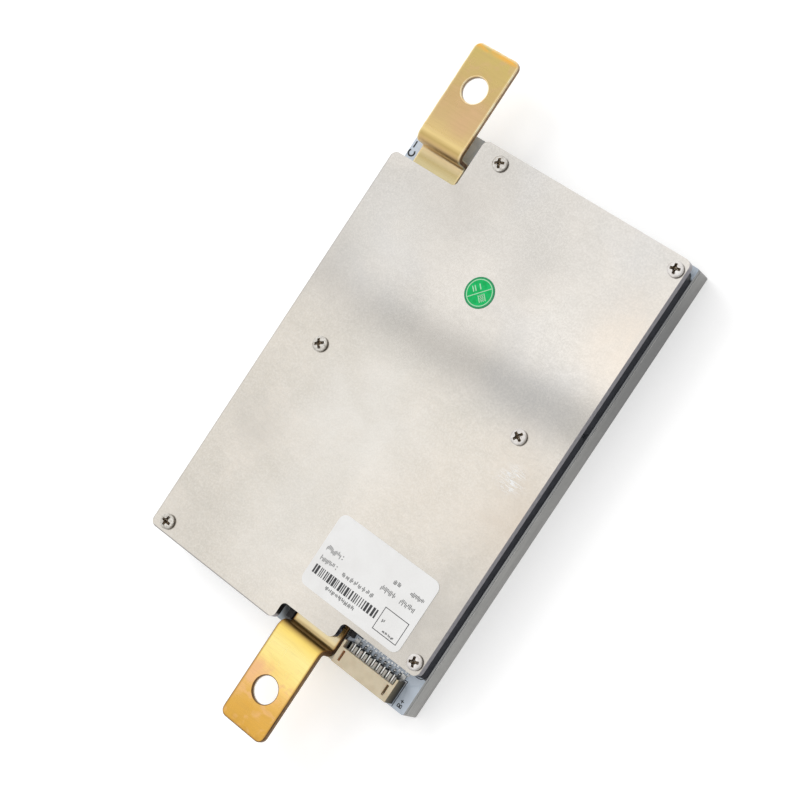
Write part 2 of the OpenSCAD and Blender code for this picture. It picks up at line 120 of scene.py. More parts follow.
def round_rectangle(x0, y0, x1, y1, r, steps=5):
    """A rectangle with round corners, counter-clockwise."""
    points = []
    for cx, cy, start in ((x1 - r, y0 + r, -90), (x1 - r, y1 - r, 0), (x0 + r, y1 - r, 90), (x0 + r, y0 + r, 180)):
        points += arc(cx, cy, r, start, start + 90, steps)
    return points


def arc(cx, cy, r, start, end, steps=24):
    """Points along an arc, its angles in degrees."""
    angles = [math.radians(start + (end - start) * i / steps) for i in range(steps + 1)]
    return [(cx + r * math.cos(a), cy + r * math.sin(a)) for a in angles]


def ribbon(points, width):
    """Outline of a line of constant width along the points, with mitred joints."""
    left, right = [], []
    for i, p in enumerate(points):
        before = Vector(points[max(i - 1, 0)])
        after = Vector(points[min(i + 1, len(points) - 1)])
        here = Vector(p)
        ways = [d.normalized() for d in (here - before, after - here) if d.length > 0]
        way = sum(ways, Vector((0, 0))).normalized()
        reach = width / 2 / max(way.dot(ways[0]), 0.4)
        normal = Vector((-way.y, way.x)) * reach
        left.append(tuple(here + normal))
        right.append(tuple(here - normal))
    return right + left[::-1]


def lobe(x0, y0, x1, y1, r):
    """A bowl of a letter: square at y0, round at y1."""
    return [(x0, y0), (x1, y0)] + arc(x1 - r, y1 - r, r, 0, 90, 5) + arc(x0 + r, y1 - r, r, 90, 180, 5)


def cross(x, y, a, b):
    """A plus sign as one outline: its arms reach a and are 2 b wide."""
    return [(x - b, y - a), (x + b, y - a), (x + b, y - b), (x + a, y - b), (x + a, y + b), (x + b, y + b),
            (x + b, y + a), (x - b, y + a), (x - b, y + b), (x - a, y + b), (x - a, y - b), (x - b, y - b)]


# ---- meshes


def add_shell(bm, loops, ring=False):
    """Joins loops of points, each at its own height, into one closed shell."""
    rows = [[bm.verts.new(in_frame(x, y, z)) for x, y in points] for points, z in loops]
    pairs = list(zip(rows, rows[1:])) + ([(rows[-1], rows[0])] if ring else [])
    for low, high in pairs:
        for i in range(len(low)):
            j = (i + 1) % len(low)
            bm.faces.new((low[i], low[j], high[j], high[i]))
    if not ring:
        bm.faces.new(rows[0][::-1])
        bm.faces.new(rows[-1])


def add_object(name, data):
    made = bpy.data.objects.new(name, data)
    bpy.context.scene.collection.objects.link(made)
    return made


def make_piece(name, shells, finish, smooth=False):
    """One piece from closed shells, with one of FINISHES and its slot, riding on the part."""
    bm = bmesh.new()
    for shell in shells:
        add_shell(bm, shell["loops"], shell.get("ring", False))
    bmesh.ops.recalc_face_normals(bm, faces=bm.faces)
    mesh = bpy.data.meshes.new(name)
    bm.to_mesh(mesh)
    bm.free()
    mesh.materials.append(FINISHES[finish])
    for face in mesh.polygons:
        face.use_smooth = smooth
    piece = add_object(name, mesh)
    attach(piece, "root")


def plate(outline, z, t=PRINT_T):
    """A thin plate of the given outline on the height z."""
    return {"loops": [(outline, z), (outline, z + t)]}


def band(outer, inner, z, t=PRINT_T):
    """A thin closed band between two outlines with as many points."""
    return {"loops": [(outer, z), (outer, z + t), (inner, z + t), (inner, z)], "ring": True}


def inset(box, d):
    x0, y0, x1, y1 = box
    return (x0 + d, y0 + d, x1 - d, y1 - d)


def mound(box, foot, r, heights):
    """A solder mound over a box on the board: its base spreads by foot, and its flank is hollow."""
    return {"loops": [(round_rectangle(*inset(box, -foot * share), r + foot * share, steps=4), DECK + h)
                      for share, h in heights]}


def collar(box, foot, r, h):
    """A hollow solder fillet round a box's foot on the board, open inside."""
    outer = [(1, 0), (0.45, 0.18), (0.12, 0.55), (0.02, 1)]
    loops = [(round_rectangle(*inset(box, -foot * s), r + foot * s), DECK + h * k) for s, k in outer]
    sunk = 0.3
    within = round_rectangle(*inset(box, sunk), max(r - sunk, 0.1))
    return {"loops": loops + [(within, DECK + h), (within, DECK)], "ring": True}


# ---- finishes


def add_node(tree, kind, inputs=None, **settings):
    """A shader node with its settings, and with each input linked or set."""
    made = tree.nodes.new(kind)
    for key, value in settings.items():
        setattr(made, key, value)
    for key, value in (inputs or {}).items():
        if isinstance(value, bpy.types.NodeSocket):
            tree.links.new(value, made.inputs[key])
        else:
            made.inputs[key].default_value = value
    return made


class Finish:
    """A procedural material whose textures lie in the part's own frame."""

    def __init__(self, name, color, roughness, metallic=0.0, **fixed):
        self.material = bpy.data.materials.new(name)
        self.material.use_nodes = True
        self.tree = self.material.node_tree
        self.shader = self.tree.nodes["Principled BSDF"]
        fixed.update(Base_Color=(*color, 1), Roughness=roughness, Metallic=metallic)
        for key, value in fixed.items():
            self.shader.inputs[key.replace("_", " ")].default_value = value
        self.place = self.add("ShaderNodeTexCoord").outputs["Object"]
        self.spot = self.vector("MULTIPLY_ADD", self.place, (1 / MM,) * 3, -CORNER / MM)   # in mm on the board
        self.normal = None

    def add(self, kind, inputs=None, **settings):
        return add_node(self.tree, kind, inputs, **settings)

    def vector(self, operation, *values):
        return self.add("ShaderNodeVectorMath", dict(enumerate(values)), operation=operation).outputs[0]

    def math(self, operation, *values):
        return self.add("ShaderNodeMath", dict(enumerate(values)), operation=operation).outputs[0]

    def times(self, a, b):
        return self.math("MULTIPLY", a, b)

    def either(self, a, b):
        return self.math("MAXIMUM", a, b)

    def rest(self, a):
        """What a leaves of 1."""
        return self.math("SUBTRACT", 1.0, a)

    def levels(self, value, low, high, start=0.0, end=1.0, smooth=False):
        """Maps value from low-high to start-end, and clamps it."""
        kind = "SMOOTHSTEP" if smooth else "LINEAR"
        return self.add("ShaderNodeMapRange", {"Value": value, 1: low, 2: high, 3: start, 4: end},
                        interpolation_type=kind).outputs[0]

    def mix(self, share, a, b):
        """A colour between a and b by share."""
        a, b = ((*c, 1) if isinstance(c, tuple) else c for c in (a, b))
        return self.add("ShaderNodeMix", {0: share, 6: a, 7: b}, data_type="RGBA").outputs[2]

    def ramp(self, value, stops):
        """A colour that runs through the stops, which are pairs of a value and a colour."""
        first, last = stops[0][0], stops[-1][0]
        made = self.add("ShaderNodeValToRGB", {0: self.levels(value, first, last)})
        marks = made.color_ramp.elements
        while len(marks) < len(stops):
            marks.new(0.5)
        for mark, (place, color) in zip(marks, stops):
            mark.position = (place - first) / (last - first)
            mark.color = (*color, 1)
        return made.outputs[0]

    def noise(self, size, detail=3.0, distortion=0.0, offset=0.0):
        """Noise whose features are about size mm: one number, or one for each axis."""
        sizes = size if isinstance(size, tuple) else (size,) * 3
        place = self.vector("MULTIPLY", self.place, tuple(1 / (s * MM) for s in sizes))
        moved = self.vector("ADD", place, (offset,) * 3)
        return self.add("ShaderNodeTexNoise", {"Vector": moved, "Scale": 1.0, "Detail": detail,
                                               "Distortion": distortion}).outputs["Fac"]

    def parts(self, vector):
        """A vector's three components, by name."""
        return self.add("ShaderNodeSeparateXYZ", {0: vector}).outputs

    def axis(self, name):
        """One coordinate of the surface, in mm on the board."""
        return self.parts(self.spot)[name]

    def facing(self, name):
        """One component of the surface's normal."""
        return self.parts(self.add("ShaderNodeNewGeometry").outputs["Normal"])[name]

    def level(self, steep=0.45, flat=0.85):
        """1 on level faces, 0 on flanks."""
        return self.levels(self.math("ABSOLUTE", self.facing("Z")), steep, flat)

    def distance(self, point):
        """The surface's distance from a point on the board."""
        return self.add("ShaderNodeVectorMath", {0: self.spot, 1: point}, operation="DISTANCE").outputs["Value"]

    def near(self, point, radius, soft=0.5):
        """1 at a point on the board, falling to 0 at the radius."""
        return self.levels(self.distance(point), radius * soft, radius, 1, 0, smooth=True)

    def far_side_shade(self):
        """How much painted shade darkens the right side's far stretch."""
        y = self.axis("Y")
        return self.times(self.levels(y, *SIDE_SHADE_RISE, smooth=True), self.levels(y, *SIDE_SHADE_FALL, smooth=True))

    def drive(self, name, socket):
        self.tree.links.new(socket, self.shader.inputs[name])

    def color(self, socket):
        self.drive("Base Color", socket)

    def roughness(self, socket):
        self.drive("Roughness", socket)

    def relief(self, height, depth, strength=1.0):
        """Adds relief of the given depth in mm over what is there."""
        inputs = {"Height": height, "Distance": depth * MM, "Strength": strength}
        if self.normal is not None:
            inputs["Normal"] = self.normal
        self.normal = self.add("ShaderNodeBump", inputs).outputs[0]
        self.drive("Normal", self.normal)


SIDE_SHADE_RISE = (59, 134)             # along Y, where painted shade sets in on the right side,
SIDE_SHADE_FALL = (139, 157, 1, 0.4)    # and where it clears again, from full to this share

COVER_WARM = (BOARD_L / 2 + 22, BOARD_L / 2)      # along Y, where the cover turns from cool to warm
NEAR_EDGE_SHADE, LEFT_EDGE_SHADE = (0.45, 0.15), (0.4, 0.1)     # reach of the painted shade along its near and left edges, faded and full
SMUDGE = (5.5, -11.6, 6.2)                        # its smudge's place from the screw beside it, and reach
COVER_PATCHES = (                                 # its patches' tones; place, reach and strength of each
    ((0.48, 0.455, 0.42), ((105, 24, 44, 0.55), (29, 139, 24, 0.22), (66, 112, 20, 0.16), (76, 12, 26, 0.25),
                           (12, 46, 16, 0.22), (64, 131, 16, 0.14), (3, 104, 18, 0.18), (9, 12, 20, 0.13))),
    ((0.87, 0.845, 0.80), ((42, 66, 36, 0.5), (42, 25, 30, 0.36), (16, 118, 22, 0.28))),
    ((0.84, 0.735, 0.62), ((107, 128, 28, 0.5),)),
    ((0.655, 0.565, 0.47), ((80, 56, 26, 0.12), (91, 84, 16, 0.16), (107, 67, 26, 0.5))),
)


def cover_finish():
    """Satin aluminium sheet: cloudy tone, fine grain, a scuffed patch, and painted shade on its sides and along its
    near and left edges.
    """
    f = Finish("cover_satin_aluminium", (0.74, 0.705, 0.66), 0.22, metallic=1.0)
    cloud = f.noise(24, detail=2, distortion=0.5)
    cloudy = f.levels(cloud, 0.36, 0.64)
    cool = f.mix(cloudy, (0.70, 0.672, 0.63), (0.775, 0.735, 0.68))
    blue = f.levels(f.noise(31, detail=2, distortion=0.3, offset=12.0), 0.5, 0.68, 0, 0.55)
    cool = f.mix(blue, cool, (0.70, 0.69, 0.68))
    warm = f.mix(cloudy, (0.71, 0.665, 0.59), (0.80, 0.745, 0.665))
    toned = f.mix(f.levels(f.axis("Y"), *COVER_WARM, smooth=True), cool, warm)
    mottle = f.noise((3.4, 1.7, 3.4), detail=6, distortion=0.3, offset=4.0)
    toned = f.mix(f.levels(mottle, 0.34, 0.66, 0.0, 0.21), toned, (0.58, 0.55, 0.505))
    speck = f.noise(0.6, detail=5, offset=21.0)
    toned = f.mix(f.levels(speck, 0.42, 0.66, 0.0, 0.3), toned, (0.90, 0.87, 0.82))
    ragged = f.levels(f.noise(13, detail=3, distortion=0.6, offset=33.0), 0.3, 0.7, 0.65, 1.35)
    for tone, patches in COVER_PATCHES:
        for x, y, reach, share in patches:
            patch = f.times(f.near((x, y, COVER_TOP), reach, soft=0.1), share)
            toned = f.mix(f.times(patch, ragged), toned, tone)
    screw = middle("cover_screw_4")
    dx, dy, reach = SMUDGE
    streak = f.levels(f.noise((2.8, 0.8, 2.0), detail=6, distortion=1.2, offset=9.0), 0.48, 0.6)
    scuff = f.times(f.near((screw.x + dx, screw.y + dy, COVER_TOP), reach, soft=0.2), streak)
    top = f.mix(scuff, toned, (0.86, 0.86, 0.85))
    low = span("top_cover")[0]
    near_edge_shade = f.levels(f.axis("Y"), *(low.y + d for d in NEAR_EDGE_SHADE), 0, 0.85)
    left_edge_shade = f.levels(f.axis("X"), *(low.x + d for d in LEFT_EDGE_SHADE), 0, 0.4)
    # painted shade: the near and left edges darkened, as the rounding in shadow
    top = f.mix(f.either(near_edge_shade, left_edge_shade), top, (0.26, 0.25, 0.255))
    # painted shade on the cover's side faces
    shaded_flank = f.mix(f.levels(f.noise((1.5, 1.5, 0.4), detail=4), 0.35, 0.65),
                    (0.13, 0.125, 0.14), (0.23, 0.22, 0.24))
    f.color(f.mix(f.level(0.2, 0.6), shaded_flank, top))
    f.roughness(f.math("ADD", f.levels(mottle, 0.25, 0.75, 0.165, 0.21), f.times(scuff, 0.25)))
    f.relief(f.noise((0.3, 0.4, 0.3), detail=3, offset=2.0), 0.003, 0.35)
    f.relief(cloud, 0.05, 0.25)
    return f.material


def sink_finish():
    """Dull drawn aluminium: lines along its length, painted shade on a far stretch, bloom and small nicks."""
    f = Finish("heat_sink_drawn_aluminium", (0.40, 0.395, 0.38), 0.46, metallic=1.0)
    lines = f.noise((0.35, 60, 0.16), detail=3)
    bloom = f.noise((14, 22, 7), detail=4, offset=3.0)
    base = f.mix(f.levels(bloom, 0.35, 0.65), (0.355, 0.352, 0.342), (0.425, 0.42, 0.405))
    # painted shade: the far stretch of the right side darkened
    base = f.mix(f.far_side_shade(), base, (0.235, 0.235, 0.235))
    f.color(f.mix(f.levels(lines, 0.35, 0.65, 0.0, 0.45), base, (0.24, 0.238, 0.23)))
    f.roughness(f.levels(lines, 0.3, 0.7, 0.4, 0.54))
    f.relief(lines, 0.02, 0.4)
    f.relief(f.levels(f.noise((1.2, 2.0, 1.2), detail=2, offset=7.0), 0.68, 0.74), 0.04, 0.5)
    return f.material


def edge_finish():
    """The bright line along the heat sink's edges: a painted highlight, uneven along them."""
    f = Finish("heat_sink_edge_highlight", (0.62, 0.62, 0.6), 0.36, metallic=1.0)
    unevenness = f.noise((3, 5, 3), detail=5)
    f.color(f.mix(f.levels(unevenness, 0.38, 0.62), (0.42, 0.42, 0.41), (0.68, 0.68, 0.66)))
    f.roughness(f.levels(unevenness, 0.3, 0.7, 0.3, 0.5))
    f.relief(f.noise(0.6, detail=3), 0.01, 0.5)
    return f.material


POUR_SIZE = 6.5               # size of the copper areas under the mask
NOTCH_SHADE = (-1.0, 5.0, 6.0)      # painted shade in the notch: along X from the battery tab, along Y, and its reach
SHADED_SIDE = (3.0, 1.0)      # dark strip along the right side: from the edge, faded and full
SHADED_END = (4.2, 3.6)       # where it ends, from the board's far end, full and faded
SHADED_START = 0.3            # how softly it starts at the right pad


def board_finish():
    """White-blue solder mask over faint copper, with bare glass fibre at the edges."""
    f = Finish("circuit_board_mask", (0.62, 0.69, 0.78), 0.34, Coat_Weight=0.25, Coat_Roughness=0.2)
    weave = f.noise((0.5, 0.5, 0.5), detail=2)
    pour = f.add("ShaderNodeTexVoronoi", {"Vector": f.place, "Scale": 1 / (POUR_SIZE * MM)},
                 feature="DISTANCE_TO_EDGE", distance="CHEBYCHEV").outputs["Distance"]
    copper = f.levels(pour, 0.03, 0.06)
    mask = f.mix(copper, (0.50, 0.58, 0.67), (0.565, 0.64, 0.73))
    mask = f.mix(f.levels(f.noise(9, detail=3), 0.35, 0.65, 0, 0.5), mask, (0.62, 0.68, 0.76))
    # painted shade: the board darkened in the notch beside the battery tab
    dx, y, reach = NOTCH_SHADE
    notch_shade = f.near((span("battery_tab")[0].x + dx, y, DECK), reach, soft=0.6)
    mask = f.mix(f.times(notch_shade, 0.9), mask, (0.07, 0.075, 0.08))
    pad = span("upper_pad_right_near")[0].y
    shaded = f.times(f.levels(f.axis("Y"), pad - SHADED_START, pad),
                     f.levels(f.axis("X"), *(BOARD_W - d for d in SHADED_SIDE)))
    shaded = f.times(shaded, f.levels(f.axis("Y"), *(BOARD_L - d for d in SHADED_END), 1, 0))
    mask = f.mix(shaded, mask, (0.06, 0.065, 0.075))
    fibre = f.mix(f.levels(f.noise((0.9, 0.9, 0.12), detail=3), 0.4, 0.6), (0.28, 0.285, 0.28), (0.38, 0.385, 0.38))
    # painted shade: the board's edge darkened along the same far stretch
    fibre = f.mix(f.far_side_shade(), fibre, (0.14, 0.145, 0.15))
    f.color(f.mix(f.level(), fibre, mask))
    f.roughness(f.levels(weave, 0.3, 0.7, 0.28, 0.42))
    f.relief(copper, 0.02, 0.5)
    f.relief(weave, 0.004, 0.4)
    return f.material


CLOUD_FROM = (6, 12)          # along a tab from its fold, where its clouding starts,
BLOT_FROM = (9, 16)           # its blots,
FLANK_SHADE_FROM = (6, 8)           # and the painted shade on its cut outline
END_FADE = (2.6, 0.8)         # from its outer end, where the end's tint starts and is full
RIM_FADE_IN = (0.9, 0.4)      # from its edges, where the rim's tone starts and is full
HOLE_LIT = (5.4, 1.5, 0.9)    # reach of the painted reflection on the hole's wall, and its depth, full and faded


def tab_finish(name, tab, fold, way, tones, patch, end_tint, edge, sides):
    """Plated brass bar: its tone changes along it from the fold, partly as painted highlights, shade and reflection,
    with tinted patches.

    fold is the riser's place along Y and way its outward direction; tones are pairs of a
    distance from the fold and a colour; patch is a place from the bar's axis and from the
    fold, a reach and a colour; end_tint is the colour along the outer end, edge the painted
    light beside the rims, and sides the two colours and the metal share of the painted shade on the cut sides.
    """
    f = Finish(name, tones[0][1], TAB_ROUGH, metallic=1.0, Specular_IOR_Level=0.25)
    low, high = span(tab)
    tip = high.y if way > 0 else low.y
    end = abs(tip - fold)
    out = f.times(f.math("SUBTRACT", f.axis("Y"), fold), way)
    wander = f.levels(f.noise((9, 5, 9), detail=2, distortion=0.4), 0.3, 0.7, -1.8, 1.8)
    # tone along the tab from its fold, with painted highlights and painted shade at the bends
    base = f.ramp(f.math("ADD", out, f.times(wander, f.levels(out, *CLOUD_FROM))), tones)
    aside, distance, reach, color = patch
    tinted = f.near((middle(tab).x + aside, fold + way * distance, high.z), reach, soft=0.3)
    cloud = f.levels(f.noise((6, 8, 6), detail=3, distortion=0.5, offset=5.0), 0.3, 0.6, 0.3, 1)
    base = f.mix(f.times(tinted, cloud), base, color)
    blot = f.levels(f.noise((5, 4, 5), detail=3, distortion=1.0, offset=11.0), 0.5, 0.64, 0, 0.5)
    base = f.mix(f.times(blot, f.levels(out, *BLOT_FROM)), base, color)
    rubbed = f.levels(f.noise((5, 2, 5), detail=3, offset=8.0), 0.42, 0.58)
    ending = f.levels(out, *(end - d for d in END_FADE), smooth=True)
    base = f.mix(f.times(ending, rubbed), base, end_tint)
    drawn = f.noise((9, 0.7, 9), detail=3, distortion=0.3, offset=1.0)
    base = f.mix(f.levels(drawn, 0.45, 0.7, 0.0, 0.12), base, (0.45, 0.31, 0.12))
    # painted light beside the rims, in the edge colour: a highlight on the charge tab, shade on the battery tab
    x = f.axis("X")
    rim = f.either(f.levels(x, *(low.x + d for d in RIM_FADE_IN)), f.levels(x, *(high.x - d for d in RIM_FADE_IN)))
    rim = f.either(rim, f.levels(out, *(end - d for d in RIM_FADE_IN)))
    base = f.mix(f.times(rim, 0.7), base, edge)

    dark, light, metal_share = sides
    # painted shade on the tab's cut sides and, past the bend, on its other flanks
    sideways = f.levels(f.math("ABSOLUTE", f.facing("X")), 0.35, 0.7)
    shaded_flank = f.either(sideways, f.times(f.levels(out, *FLANK_SHADE_FROM), f.rest(f.level())))
    side = f.mix(f.levels(f.noise((0.5, 0.9, 0.5), detail=4), 0.32, 0.68), dark, light)
    # painted reflection: the lower part of the hole's wall lightened
    reach, deep, shallow = HOLE_LIT
    hole_reflection = f.near((middle(tab).x, tip - way * HOLE_IN, high.z - 1), reach, soft=0.92)
    lower = f.levels(f.axis("Z"), high.z - deep, high.z - shallow, 1, 0)
    side = f.mix(f.times(hole_reflection, lower), side, (0.95, 0.93, 0.88))
    f.color(f.mix(shaded_flank, base, side))
    f.drive("Metallic", f.levels(shaded_flank, 0, 1, 1, metal_share))
    bent = f.levels(f.math("ABSOLUTE", f.math("SUBTRACT", out, 1.0)), 2.0, 4.5, 0.16, 0)
    polish = f.levels(f.noise((3, 5, 3), detail=2), 0.3, 0.7, TAB_ROUGH - 0.02, TAB_ROUGH + 0.03)
    f.roughness(f.math("ADD", polish, bent))
    f.relief(drawn, 0.002, 0.2)
    return f.material


def rim_finish(name, bright, dark, metallic):
    """The rolled rim of a stamped tab, coloured as painted light, with darker tinted stretches."""
    f = Finish(name, bright, 0.35, metallic=metallic, Specular_IOR_Level=0.25)
    tint = f.noise((4, 5, 4), detail=4, distortion=0.5)
    f.color(f.mix(f.levels(tint, 0.42, 0.64), bright, dark))
    f.roughness(f.levels(f.noise(1.2, detail=3), 0.3, 0.7, 0.3, 0.42))
    f.relief(f.noise(0.8, detail=3), 0.006, 0.3)
    return f.material


def plain_metal(name, dark, light, rough, grain_size, relief_depth):
    """A small metal part: two tones, a broken shine and a fine grain."""
    f = Finish(name, light, rough, metallic=1.0)
    f.color(f.mix(f.levels(f.noise(grain_size, detail=4), 0.35, 0.65), dark, light))
    f.roughness(f.levels(f.noise(grain_size * 0.4, detail=3, offset=3.0), 0.3, 0.7, rough - 0.06, rough + 0.1))
    f.relief(f.noise(grain_size * 0.25, detail=3), relief_depth, 0.5)
    return f.material


def moulding(name, dark, light, rough, sparkle_size, relief_depth, **fixed):
    """Moulded plastic, rubber or ceramic: soft tone, fine texture and uneven shine."""
    f = Finish(name, light, rough, **fixed)
    f.color(f.mix(f.levels(f.noise(sparkle_size * 8, detail=4), 0.35, 0.65), dark, light))
    fine = f.noise(sparkle_size, detail=3, offset=2.0)
    f.roughness(f.levels(fine, 0.3, 0.7, rough - 0.07, rough + 0.09))
    f.relief(fine, relief_depth, 0.5)
    return f.material


RECESS_REACH = (1.9, 2.0)     # the recess lies within this distance of a screw's axis,
RECESS_DEPTH = (0.03, 0.14)   # and this far under the crown
HEAD_FOOT = (0.5, 0.75)       # height of the painted shade at the foot of a screw's head, full and faded


def screw_finish(node):
    """Plated steel: painted shade in its recess with painted glints, and painted shade at the foot of its flank."""
    f = Finish(f"{node}_plated_steel", (0.8, 0.78, 0.75), 0.25, metallic=1.0)
    top = middle(node)
    top.z = span(node)[1].z
    away = f.parts(f.vector("SUBTRACT", f.spot, top))
    x, y, z = (away[name] for name in "XYZ")
    around = f.math("ADD", f.times(x, x), f.times(y, y))
    depth = f.times(f.math("ADD", z, f.times(around, 0.5 / DOME_R)), -1.0)
    inside = f.levels(around, *(r ** 2 for r in RECESS_REACH), 1, 0)
    recess = f.times(inside, f.levels(depth, *RECESS_DEPTH))
    new = top.x / BOARD_W        # the screws further right are lighter and less scuffed
    dull, clean = ((0.60, 0.57, 0.52), (0.78, 0.755, 0.70)), ((0.76, 0.72, 0.69), (0.92, 0.895, 0.87))
    low_tone, high_tone = (tuple(p + (q - p) * new for p, q in zip(a, b)) for a, b in zip(dull, clean))
    tone = f.mix(f.levels(f.noise(1.6, detail=2), 0.35, 0.65), low_tone, high_tone)
    # painted shade on the flank, darkest at its foot
    foot = f.levels(f.axis("Z"), *(COVER_TOP + h for h in HEAD_FOOT), 1, 0.1)
    flank = f.rest(f.either(f.level(), inside))
    tone = f.mix(f.times(flank, foot), tone, (0.035, 0.028, 0.025))
    scuffed = f.levels(f.noise(0.35, detail=2, offset=9.0), 0.5, 0.62, 0, 0.55 - 0.4 * new)
    tone = f.mix(scuffed, tone, (0.30, 0.26, 0.21))
    # painted shade in the recess, with painted glints
    glint = f.levels(f.noise(0.42, detail=2, offset=5.0), 0.46, 0.56)
    recess_shading = f.mix(glint, (0.035, 0.022, 0.015), (0.30, 0.225, 0.14))
    recess_shading = f.mix(f.levels(f.noise(0.3, detail=1, offset=2.0), 0.62, 0.68), recess_shading, (0.8, 0.76, 0.70))
    f.color(f.mix(recess, tone, recess_shading))
    worn = f.levels(f.noise(0.9, detail=2, offset=3.0), 0.3, 0.7, 0.2, 0.3)
    f.roughness(f.either(worn, f.times(recess, 0.6)))
    f.relief(f.noise(0.4, detail=2), 0.006, 0.3)
    return f.material


COMB_FADE = 0.2               # how softly the header's comb sets in
SLOT_FADE = 0.3               # height over which painted shade darkens its slots, above the pins
COMB_SHADE = (1.0, 1.5)       # depth under its top where painted shade dulls its comb
LIP = (1.2, 0.3)              # depth under its top of the lip that the painted shade on its side faces lightens to
RIGHT_END = (1.0, 0.5)        # its right end's outer side, from the end
LEFT_END_FADE = (6.0, 9.0)       # along X from its left end, where its slots turn darker


def header_finish():
    """Nylon moulding: clean on top, with painted shade between the pins and down its sides, which turn browner and
    darker.
    """
    f = Finish("header_nylon", (0.60, 0.51, 0.35), 0.42, Subsurface_Weight=0.05, Subsurface_Scale=0.002)
    low, high = span("header_housing")
    x, y, z = (f.axis(name) for name in "XYZ")
    tone = f.mix(f.levels(f.noise(2.4, detail=3), 0.35, 0.65), (0.565, 0.475, 0.325), (0.62, 0.53, 0.375))
    comb = f.levels(y, high.y - COMB_L - COMB_FADE, high.y - COMB_L)
    # painted shade between the pins, deeper in the comb and darkest in the slots
    shade = f.levels(z, *(high.z - d for d in COMB_SHADE))
    tone = f.mix(f.times(comb, shade), tone, (0.44, 0.42, 0.375))
    slot = f.times(comb, f.levels(z, low.z + PIN_Z, low.z + PIN_Z + SLOT_FADE, 1, 0))
    tone = f.mix(slot, tone, (0.035, 0.03, 0.025))
    side = f.times(f.levels(f.facing("X"), 0.5, 0.8), f.levels(x, *(high.x - d for d in RIGHT_END)))
    shaded = f.mix(f.levels(z, low.z + 1, high.z), (0.035, 0.03, 0.02), (0.18, 0.145, 0.08))
    tone = f.mix(side, tone, shaded)
    # painted shade down the side faces, in orange-brown at the left end and darker brown further right
    deep = f.times(f.rest(f.level()), f.levels(z, *(high.z - d for d in LIP), 0.85, 0.5))
    deep = f.times(deep, f.rest(f.either(comb, side)))
    toward_right = f.levels(x, *(low.x + d for d in LEFT_END_FADE))
    f.color(f.mix(deep, tone, f.mix(toward_right, (0.62, 0.30, 0.13), (0.36, 0.18, 0.06))))
    fine = f.noise(0.3, detail=3, offset=2.0)
    f.roughness(f.levels(fine, 0.3, 0.7, 0.36, 0.5))
    f.relief(fine, 0.01, 0.4)
    return f.material


def label_finish():
    """Coated label stock: nearly white, faint fibre, a slight sheen."""
    f = Finish("rating_label_stock", (0.84, 0.835, 0.82), 0.44)
    fibre = f.noise((0.5, 0.35, 0.4), detail=4)
    smudge = f.noise(11, detail=4, distortion=0.5, offset=6.0)
    base = f.mix(f.levels(smudge, 0.4, 0.7), (0.86, 0.855, 0.845), (0.80, 0.79, 0.775))
    f.color(f.mix(f.levels(fibre, 0.4, 0.6, 0, 0.12), base, (0.72, 0.71, 0.7)))
    f.roughness(f.levels(fibre, 0.3, 0.7, 0.38, 0.52))
    f.relief(fibre, 0.006, 0.3)
    return f.material


STICKER_RIM = (4.35, 4.6)     # radius where the sticker's green turns darker


def sticker_finish():
    """Glossy green film with uneven ink and a darker rim."""
    f = Finish("sticker_green_film", (0.0, 0.46, 0.11), 0.34, Specular_IOR_Level=0.2)
    centre = middle("inspection_sticker")
    centre.z = STICKER_TOP
    base = f.mix(f.levels(f.noise(1.4, detail=4), 0.3, 0.7), (0.0, 0.40, 0.09), (0.002, 0.56, 0.15))
    f.color(f.mix(f.levels(f.distance(centre), *STICKER_RIM), base, (0.03, 0.28, 0.12)))
    f.roughness(f.levels(f.noise(0.5, detail=3), 0.3, 0.7, 0.24, 0.4))
    f.relief(f.noise(2.5, detail=2), 0.01, 0.3)
    return f.material


def ink_finish(name, color, fade, speck=0.35):
    """Printed ink that is a little broken up by the surface under it."""
    f = Finish(name, color, 0.5)
    f.color(f.mix(f.levels(f.noise(speck, detail=4), 0.45, 0.75), color, fade))
    f.roughness(f.levels(f.noise(speck * 2, detail=2), 0.3, 0.7, 0.42, 0.6))
    f.relief(f.noise(speck, detail=2), 0.004, 0.3)
    return f.material


FINISHES = {
    "solder": plain_metal("solder_bright", (0.62, 0.62, 0.61), (0.86, 0.86, 0.84), 0.22, 0.9, 0.02),
    "black_ink": ink_finish("board_print_black", (0.012, 0.012, 0.015), (0.05, 0.055, 0.065)),
    "label_ink": ink_finish("label_print_grey", (0.02, 0.02, 0.024), (0.1, 0.1, 0.1), speck=0.25),
    "dot_ink": ink_finish("chip_dot_grey", (0.13, 0.13, 0.14), (0.2, 0.2, 0.2), speck=0.25),
    "white_ink": ink_finish("board_print_white", (0.82, 0.83, 0.84), (0.62, 0.65, 0.68)),
    "pale_ink": ink_finish("sticker_print_pale", (0.45, 0.74, 0.50), (0.25, 0.62, 0.34), speck=0.2),
}


# ---- CAD nodes


def dress(node, finish, bevel=0.0, segments=1, edge=None):
    """Gives a CAD node its finish, and rounds its sharp edges by bevel mm."""
    o = nodes[node]
    o.data.materials.clear()
    o.data.materials.append(finish)
    if edge is not None:
        o.data.materials.append(edge)
    if bevel:
        modify(o, "WELD", merge_threshold=1e-6)
        modify(o, "DECIMATE", decimate_type="DISSOLVE", angle_limit=math.radians(0.5))
        modify(o, "BEVEL", width=bevel * MM, segments=segments, limit_method="ANGLE", angle_limit=math.radians(40),
               harden_normals=False, material=-1 if edge is None else 1)
        modify(o, "WEIGHTED_NORMAL", keep_sharp=True)


def modify(o, kind, **settings):
    made = o.modifiers.new(kind.lower(), kind)
    for key, value in settings.items():
        setattr(made, key, value)


